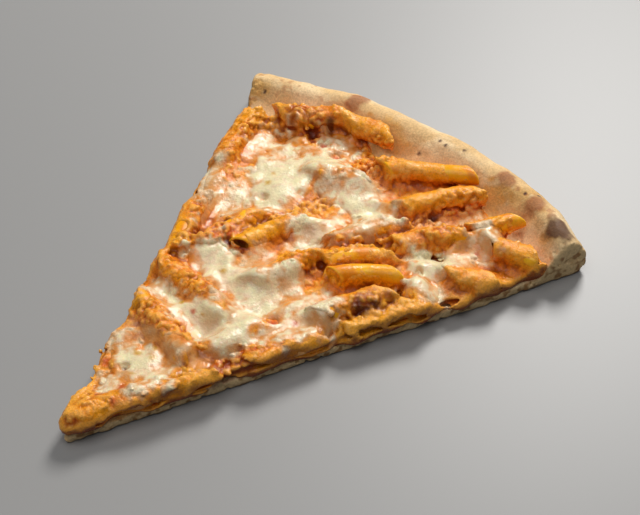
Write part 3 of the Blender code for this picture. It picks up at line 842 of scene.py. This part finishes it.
def add_crumbs(grid, sauce):
    """Rounded crumbs of curdled sauce over the patches."""
    heights = heights_of(sauce, grid)
    random = np.random.default_rng(11)
    for patch in PATCHES:
        turn = math.radians(patch.heading)
        for _ in range(patch.crumbs):
            reach, direction = math.sqrt(random.random()), random.random() * 2 * math.pi
            ahead = reach * patch.radii[0] * math.cos(direction)
            aside = reach * patch.radii[1] * math.sin(direction)
            x = patch.middle[0] + ahead * math.cos(turn) - aside * math.sin(turn)
            y = patch.middle[1] + ahead * math.sin(turn) + aside * math.cos(turn)
            radius = CRUMB_RADIUS + CRUMB_RANGE * random.random() ** 2
            z = height_at(heights, grid, (x, y)) + CRUMB_LIFT * radius
            if knife(x, y) <= -CRUMB_SET_BACK and z >= BED_TOP + CURD_RISE:
                add_ball(grid, sauce, (x, y, z), radius)


def dig_pits(grid, field, heights, wider):
    """Digs the deeper pits, with their radii this much wider. The others are only coloured."""
    for pit in PITS:
        if pit.depth > PIT_COLOURED:
            z = height_at(heights, grid, pit.place) + pit.radius - pit.depth
            part, outside = ball(grid, (*pit.place, z), pit.radius + wider)
            field[part] = smooth_max(field[part], -outside, blend=1.6)


def open_bores(grid, field):
    """Clears the mouths of the tubes that stand open."""
    for tube in TUBES:
        if not tube.open:
            continue
        part = grid.part(ends_of(tube), TUBE_MARGIN)
        _, ends, bore, _ = tube_fields(tube, *grid.mesh(part))
        core = np.maximum(bore - MOUTH_WIDER, np.abs(ends + MOUTH_INSET) - MOUTH_REACH)
        field[part] = smooth_max(field[part], -core, blend=0.4)


def cheese_depth(grid):
    """Over each place, the thickness of the melted cheese, below zero where there is none, and
    how white it is."""
    x, y, _ = grid.mesh()
    wander = lumps(grid, Lump(0.12, 8, 21), Lump(0.08, 3, 22), flat=True)
    layers = Lump(0.16, 7, 25), Lump(0.14, 2.6, 26), Lump(0.12, 1.3, 27)
    frayed = lumps(grid, *layers, flat=True)
    depth = np.full((grid.counts[0], grid.counts[1], 1), 2 * CHEESE_NONE, np.float32)
    milk = np.zeros_like(depth)
    for spot in CHEESE:
        reach = oval(spot, x, y)
        if spot.depth:
            part = spot.depth * (1 - np.maximum(CHEESE_TRIM * reach + wander, 0) ** 2)
            depth = smooth_max(depth, part, blend=0.8)
        milk = np.maximum(milk, spot.milk * (1 - smooth_step(reach + frayed, start=0.6, end=1.35)))
    return np.maximum(depth, CHEESE_NONE) + lumps(grid, Lump(0.12, 5, 23), flat=True), milk


def grow_cheese(grid, sauce):
    """The cheese lies on the toppings' evened-out form, so it fills their hollows."""
    depth, milk = cheese_depth(grid)
    evened = blurred(sauce, round(EVENING / grid.cell))
    _, _, z = grid.mesh()
    level = EVENED_SHARE * evened + OWN_SHARE * sauce
    cheese = smooth_max(level - depth, -(sauce + CHEESE_SINK), blend=0.5)
    drip = BED_TOP + DRIP_RISE + lumps(grid, Lump(1.2, 6, 24), flat=True)
    return smooth_max(cheese, drip - z, blend=1.0), evened, milk


def add_strands(grid, cheese, heights):
    """Strings of cheese, thicker at their two ends, as rows of overlapping balls."""
    for strand in STRANDS:
        points = np.linspace(strand.start, strand.end, STRAND_BALLS)
        for share, (x, y) in zip(np.linspace(0, 1, STRAND_BALLS), points):
            z = height_at(heights, grid, (x, y)) + strand.lift
            radius = strand.radius * (STRAND_WAIST + (1 - STRAND_WAIST) * 2 * abs(share - 0.5))
            if z > BED_TOP:
                add_ball(grid, cheese, (x, y, z), radius)


def grow_crust(grid, crust):
    """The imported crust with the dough's wrinkles, its blisters and the crumb's pores."""
    x, y, z = grid.mesh()
    rim = smooth_step(np.hypot(x, y), start=186, end=200)
    cut = smooth_step(knife(x, y), start=-3, end=-1)
    field = crust - rim * (1 - CUT_SMOOTHING * cut) * lumps(grid, Lump(0.22, 7, 31), Lump(0.12, 3, 32))
    for spot in SCORCHES_AND_SHADE:
        field = field - spot.height * np.exp(-oval(spot, x, y) ** 2 * BLISTER_STEEPNESS) * rim
    pores = np.maximum(lumps(grid, Lump(1, 1.3, 33)) - PORE_LEVEL, 0) * PORE_DEPTH
    field = field + cut * (pores + lumps(grid, Lump(0.12, 2.2, 34)))
    under = lumps(grid, Lump(UNDERSIDE_WAVER, 5, 35), flat=True)
    return np.maximum(field, -z + under + UNDERSIDE_WAVER)


def speckles(grid, points, *layers):
    """The layers' unevenness at these points, one array for each."""
    return [sample(lumps(grid, layer), grid, points) for layer in layers]


def whiteness(grid, points, under, veil, tip, noises):
    """How white the cheese makes the toppings at these points: as its rounds say, less far below
    the top, at least by the veil over the sauce, and more on the tips of crumbs."""
    grain, mottle, broad = noises
    drop = sample_flat(under.heights, grid, points) - points[:, 2]
    white = sample_flat(under.milk, grid, points) * (1 - smooth_step(drop, start=1.5, end=5))
    white = np.maximum(white, VEIL_WHITENESS * veil)
    white += np.minimum(3 * white, 1) * (0.07 * broad + 0.08 * mottle + 0.06 * grain)
    return white + 1.5 * np.clip(tip, -0.12, 0.12) * smooth_step(white, 0.1, 0.3)


def topping_colours(grid, points, under, solid, veil):
    """Colours of the toppings at these points: the patches' own, with painted light on crests and
    crumbs and painted shade in the creases, golden where a tube lies close under them, and white
    by degrees where the cheese thickens."""
    x, y = points[:, 0], points[:, 1]
    film = sample(under.tubes, grid, points)
    crest = sample(under.evened, grid, points)
    tip = sample(under.crumbs, grid, points) - sample(solid, grid, points)
    noises = speckles(grid, points, Lump(1, 1.5, 41), Lump(1, 3.5, 42), Lump(1, 9, 44))
    grain, mottle, _ = noises
    colour = np.tile(linear("sauce"), (len(points), 1))
    for patch in PATCHES:
        inward = 1.3 - oval(patch, x, y) + FRAY * mottle + 0.06 * grain
        colour = tinted(colour, (patch.tint, inward, 0.85, 0, 0.6))
    colour = tinted(
        colour,
        ("penne", film + FRAY * mottle, 0.7, 1.2, 0.1),
        # painted light on the crests
        ("sauce_crest_light", crest + FRAY * grain, 0.45, 0.1, 1.0),
        # painted shade in the creases
        ("sauce_painted_shade", -crest + FRAY * grain, 0.85, 0.1, 0.7),
        # painted light on the crumbs' tips
        ("curd", tip + 0.03 * mottle, 0.5, 0.07, 0.2),
        # painted shade between the crumbs
        ("sauce_painted_shade", -tip, 0.5, 0.02, 0.14),
    )
    white = whiteness(grid, points, under, veil, tip, noises)
    for shade, start, end in MILK_SHADES:
        colour = tinted(colour, (shade, white, 0.9, start, end))
    # the pits' colours, painted shade in the darkest of them
    for pit in PITS:
        apart = np.hypot(x - pit.place[0], y - pit.place[1]) / pit.radius + FRAY * grain
        colour = tinted(colour, (pit.tint, apart, 0.85, 1.3, 0.2))
    return colour * (1 + GRAIN * grain)[:, None]


def paint_sauce(made, grid, under, solid):
    """The toppings' colours, with painted shade down the sides of the cuts, deepest near the bed."""
    points, normals = places_of(made)
    colour = topping_colours(grid, points, under, solid, 0)
    # painted shade on the cut sides that face sideways and down, more of it near the bed
    edge = smooth_step(knife(points[:, 0], points[:, 1]), -5, -2)
    side = edge * (1 - smooth_step(normals[:, 2], -0.2, 0.5))
    foot = smooth_step(-points[:, 2], -BED_TOP - 4, -BED_TOP - 1)
    colour = mixed(colour, linear("sauce_painted_shade"), side * (0.65 + 0.3 * foot))
    (damp,) = speckles(grid, points, Lump(0.2, 5, 43))
    paint(made, colour, 0.55 + damp)


def paint_cheese(made, grid, under, solid):
    """The toppings' colours, with painted warm light through the cheese on the slopes."""
    points, normals = places_of(made)
    thickness = np.maximum(sample(solid, grid, points), 0)
    colour = topping_colours(grid, points, under, solid, 1 - np.exp(-thickness / CHEESE_VEIL))
    # painted warm light through the cheese where it slopes
    colour = tinted(colour, ("cheese_rose", normals[:, 2], 0.5, 0.95, 0.55))
    (damp,) = speckles(grid, points, Lump(0.2, 5, 52))
    paint(made, colour, 0.65 + damp)


def paint_crust(made, grid):
    """Baked skin with freckles, scorches and specks, painted shade in one hollow of the rim, crumb at
    the cuts, and a toasted underside.
    """
    points, normals = places_of(made)
    x, y, z = points.T
    layers = Lump(1, 1.3, 61), Lump(1, 4, 62), Lump(1, 12, 63)
    grain, mottle, broad = speckles(grid, points, *layers)
    colour = np.tile(linear("crust"), (len(points), 1))
    colour = tinted(
        colour,
        ("crust_pale", broad + 0.3 * mottle, 0.8, -0.2, 1.4),
        ("crust_gold", -broad + 0.5 * mottle, 0.7, 0.2, 1.6),
        ("crust_brown", grain + 0.7 * mottle, 0.55, 1.1, 2.4),
        ("crust_pale", -grain + 0.5 * mottle, 0.4, 1.0, 2.2),
    )
    # the scorches' colours, and painted shade in one hollow of the rim
    for spot in SCORCHES_AND_SHADE:
        inward = 1.35 - oval(spot, x, y) + 0.16 * mottle + 0.14 * grain
        colour = tinted(colour, (spot.tint, inward, 0.85, 0.1, 0.8))
    for place in SPECKS:
        apart = np.hypot(x - place[0], y - place[1])
        colour = tinted(colour, ("crust_burnt", apart, 0.9, 1.1, 0.5))
    across = np.sign(y) * math.cos(HALF_ANGLE) * normals[:, 1]
    facing = np.abs(across - math.sin(HALF_ANGLE) * normals[:, 0])
    cut = smooth_step(facing, 0.55, 0.8) * smooth_step(knife(x, y), -7, -4)
    crumb = np.tile(linear("crumb"), (len(points), 1))
    crumb = tinted(crumb, ("crumb_pore", grain, 1, 0.2, 1.4))
    colour = mixed(colour, crumb, cut)
    colour = tinted(colour, ("underside", -normals[:, 2], 0.9, 0.4, 0.8))
    low = smooth_step(0.9 + 0.5 * mottle - z, 0, 0.8)
    colour = tinted(colour, ("toasted", mottle + 0.6 * grain, 0.75 * low, -1.2, 0.8))
    paint(made, colour * (1 + GRAIN * grain)[:, None], 0.2 + 0.1 * mottle)


def paint_tube(made, grid, bore, past, number):
    """Yellow pasta, with painted shade inside the bore, darker low down, and pale at the lips."""
    points, _ = places_of(made)
    inner = 1 - smooth_step(sample(bore, grid, points), 0.1, 0.7)
    lip = smooth_step(sample(past, grid, points), -1.2, -0.2)
    grain, mottle = speckles(grid, points, Lump(1, 1.5, 400 + number), Lump(1, 4, 300 + number))
    colour = np.tile(linear("penne"), (len(points), 1))
    colour = tinted(
        colour,
        ("penne_pale", mottle, 0.5, 0.2, 1.6),
        ("penne_deep_and_shade", -mottle, 0.55, 0.2, 1.6),
    )
    colour = mixed(colour, linear("penne_pale"), 0.7 * lip * (1 - inner))
    # painted shade inside the bore
    colour = mixed(colour, linear("penne_deep_and_shade"), 0.8 * inner * (1 - 0.6 * lip))
    colour = tinted(colour, ("penne_deep_and_shade", points[:, 2], 0.5, 11, 7))
    paint(made, colour * (1 + GRAIN * grain)[:, None], 0.6 + 0.2 * mottle)


def finish_piece(made, material, slot, *nodes):
    made.data.materials.clear()
    made.data.materials.append(material)
    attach(made, "root")
    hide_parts(*nodes)


def node(tree, kind, **settings):
    made = tree.nodes.new(kind)
    for name, value in settings.items():
        setattr(made, name, value)
    return made


def fill(made, **inputs):
    """Sets a node's inputs, whose names have underscores here for their spaces."""
    for name, value in inputs.items():
        made.inputs[name.replace("_", " ")].default_value = value


def noise_of(tree, size, detail):
    """A noise with lumps of this size in millimetres."""
    place = node(tree, "ShaderNodeTexCoord")
    made = node(tree, "ShaderNodeTexNoise")
    fill(made, Scale=1 / (size * MM), Detail=detail)
    tree.links.new(place.outputs["Object"], made.inputs["Vector"])
    return made.outputs["Fac"]


def mapped(tree, value, low, high):
    """A noise's usual range stretched to this one."""
    made = node(tree, "ShaderNodeMapRange")
    fill(made, From_Min=0.3, From_Max=0.7, To_Min=low, To_Max=high)
    tree.links.new(value, made.inputs["Value"])
    return made.outputs["Result"]


def link_colour(tree, shader, finish):
    """The points' colours, made lighter and darker by a fine noise."""
    colour = node(tree, "ShaderNodeAttribute", attribute_name="colour").outputs["Color"]
    noise = noise_of(tree, finish.speckle_size, 4)
    shade = mapped(tree, noise, 1 - finish.speckle, 1 + finish.speckle)
    varied = node(tree, "ShaderNodeMix", data_type="RGBA", blend_type="MULTIPLY")
    fill(varied, Factor=1)
    grey = node(tree, "ShaderNodeCombineColor")
    for channel in ("Red", "Green", "Blue"):
        tree.links.new(shade, grey.inputs[channel])
    tree.links.new(colour, varied.inputs["A"])
    tree.links.new(grey.outputs["Color"], varied.inputs["B"])
    tree.links.new(varied.outputs["Result"], shader.inputs["Base Color"])


def link_roughness(tree, shader, finish):
    """The points' wetness, made patchy by a noise."""
    wet = node(tree, "ShaderNodeAttribute", attribute_name="wet").outputs["Fac"]
    patchy = node(tree, "ShaderNodeMath", operation="ADD")
    tree.links.new(wet, patchy.inputs[0])
    tree.links.new(mapped(tree, noise_of(tree, 2.5, 3), -0.25, 0.25), patchy.inputs[1])
    roughness = node(tree, "ShaderNodeMapRange")
    fill(roughness, To_Min=finish.dry, To_Max=finish.wet)
    tree.links.new(patchy.outputs["Value"], roughness.inputs["Value"])
    tree.links.new(roughness.outputs["Result"], shader.inputs["Roughness"])


def link_relief(tree, shader, finish):
    normal = None
    for size, height in finish.relief:
        bump = node(tree, "ShaderNodeBump")
        fill(bump, Distance=height * MM)
        tree.links.new(noise_of(tree, size, 3), bump.inputs["Height"])
        if normal:
            tree.links.new(normal, bump.inputs["Normal"])
        normal = bump.outputs["Normal"]
    tree.links.new(normal, shader.inputs["Normal"])


def food_material(name):
    """Colour and wetness from the piece's points, with finer variation and relief of its own."""
    finish = FINISHES[name]
    material = bpy.data.materials.new(name)
    material.use_nodes = True
    tree = material.node_tree
    shader = tree.nodes["Principled BSDF"]
    link_colour(tree, shader, finish)
    link_roughness(tree, shader, finish)
    link_relief(tree, shader, finish)
    fill(shader, Subsurface_Weight=finish.flesh, Subsurface_Scale=finish.deep)
    fill(shader, Subsurface_Radius=FLESH_RADIUS, Specular_IOR_Level=finish.shine)
    return material


def place_facing(made, azimuth, elevation, distance, target=(0, 0, 0)):
    """Puts a camera or a lamp in this direction from its target, facing it."""
    turn, lift = math.radians(azimuth), math.radians(elevation)
    away = Vector((math.cos(lift) * math.cos(turn), math.cos(lift) * math.sin(turn), math.sin(lift)))
    made.location = Vector(target) + away * distance
    made.rotation_mode = "QUATERNION"
    made.rotation_quaternion = (-away).to_track_quat("-Z", "Y")
    bpy.context.scene.collection.objects.link(made)


def make_camera():
    data = bpy.data.cameras.new("camera")
    data.lens = CAMERA_LENS
    data.sensor_width = CAMERA_SENSOR
    camera = bpy.data.objects.new("camera", data)
    place_facing(camera, CAMERA_AZIMUTH, CAMERA_ELEVATION, CAMERA_DISTANCE, CAMERA_TARGET)
    bpy.context.scene.camera = camera


def make_lamp(lamp):
    """A square soft light facing the slice."""
    data = bpy.data.lights.new(lamp.name, "AREA")
    data.size = lamp.size
    data.energy = lamp.power
    data.color = lamp.colour
    made = bpy.data.objects.new(lamp.name, data)
    place_facing(made, lamp.azimuth, lamp.elevation, lamp.distance)


def make_floor():
    mesh = bpy.data.meshes.new("floor")
    corners = [(x * FLOOR_HALF, y * FLOOR_HALF, 0) for x, y in ((-1, -1), (1, -1), (1, 1), (-1, 1))]
    mesh.from_pydata(corners, [], [(0, 1, 2, 3)])
    floor = bpy.data.objects.new("floor", mesh)
    floor.location.z = -FLOOR_DROP
    bpy.context.scene.collection.objects.link(floor)
    material = bpy.data.materials.new("floor")
    material.use_nodes = True
    shader = material.node_tree.nodes["Principled BSDF"]
    fill(shader, Base_Color=FLOOR_COLOUR, Roughness=FLOOR_ROUGHNESS)
    mesh.materials.append(material)


def make_studio():
    make_floor()
    world = bpy.data.worlds.new("studio")
    world.use_nodes = True
    fill(world.node_tree.nodes["Background"], Color=WORLD_COLOUR, Strength=WORLD_STRENGTH)
    bpy.context.scene.world = world
    bpy.context.scene.view_settings.view_transform = "Standard"
    for lamp in LAMPS:
        make_lamp(lamp)


def make_crust(grid, crust_form):
    crust = piece_from("crust_baked", grow_crust(grid, crust_form), grid, MOST_TRIANGLES["crust"])
    paint_crust(crust, grid)
    finish_piece(crust, food_material("crust"), "crust", "crust")


def make_toppings(grid, crust_form):
    """The sauce and the cheese, which take their forms and colours from each other."""
    sauce, tubes = grow_sauce(grid, crust_form)
    add_crumbs(grid, sauce)
    cheese, evened, milk = grow_cheese(grid, sauce)
    heights = heights_of(np.minimum(sauce, cheese), grid)
    add_strands(grid, cheese, heights)
    dig_pits(grid, sauce, heights, wider=0)
    dig_pits(grid, cheese, heights, wider=0.8)
    solid = sauce.copy()
    open_bores(grid, sauce)
    open_bores(grid, cheese)
    sauce = np.maximum(sauce, -(crust_form + SAUCE_SINK))
    cheese = np.maximum(cheese, -(crust_form + SAUCE_SINK))
    under = Under(tubes, evened, blurred(solid, reach=2), milk, heights[:, :, None])

    topping = piece_from("sauce_melted", sauce, grid, MOST_TRIANGLES["sauce"])
    paint_sauce(topping, grid, under, solid)
    finish_piece(topping, food_material("sauce"), "sauce", "sauce")

    melted = piece_from("mozzarella_melted", cheese, grid, MOST_TRIANGLES["mozzarella"], least=60)
    paint_cheese(melted, grid, under, solid)
    nodes = [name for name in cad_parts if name.startswith("mozzarella")]
    finish_piece(melted, food_material("mozzarella"), "mozzarella", *nodes)


def make_tube(tube, number, material):
    """One tube of penne on a grid of its own: cooked a little out of round, its ends slanted."""
    ends = ends_of(tube)
    margin = PENNE_RADIUS * 1.5 + abs(tube.bow) + 2
    grid = Grid(ends.min(axis=0) - margin, ends.max(axis=0) + margin, CELL)
    x, y, z = grid.mesh()
    limp = lumps(grid, Lump(0.3, 9, 100 + number), Lump(0.06, 3, 200 + number))
    wall, past, bore, _ = tube_fields(tube, x, y, z)
    bore = bore - limp
    field = smooth_max(smooth_max(wall - limp, past, blend=0.6), -bore, blend=0.5)
    if tube.cut:
        field = smooth_max(field, knife(x, y) - KNIFE_PLAY, blend=0.4)
    made = piece_from("pasta_" + tube.place, field, grid)
    paint_tube(made, grid, bore, past, number)
    finish_piece(made, material, "penne", "penne_" + tube.place)


def main():
    grid = Grid(FIELD_LOW, FIELD_HIGH, CELL)
    crust_form = packed_crust(grid)
    make_crust(grid, crust_form)
    make_toppings(grid, crust_form)
    pasta = food_material("penne")
    for number, tube in enumerate(TUBES):
        make_tube(tube, number, pasta)
    make_camera()
    make_studio()


main()
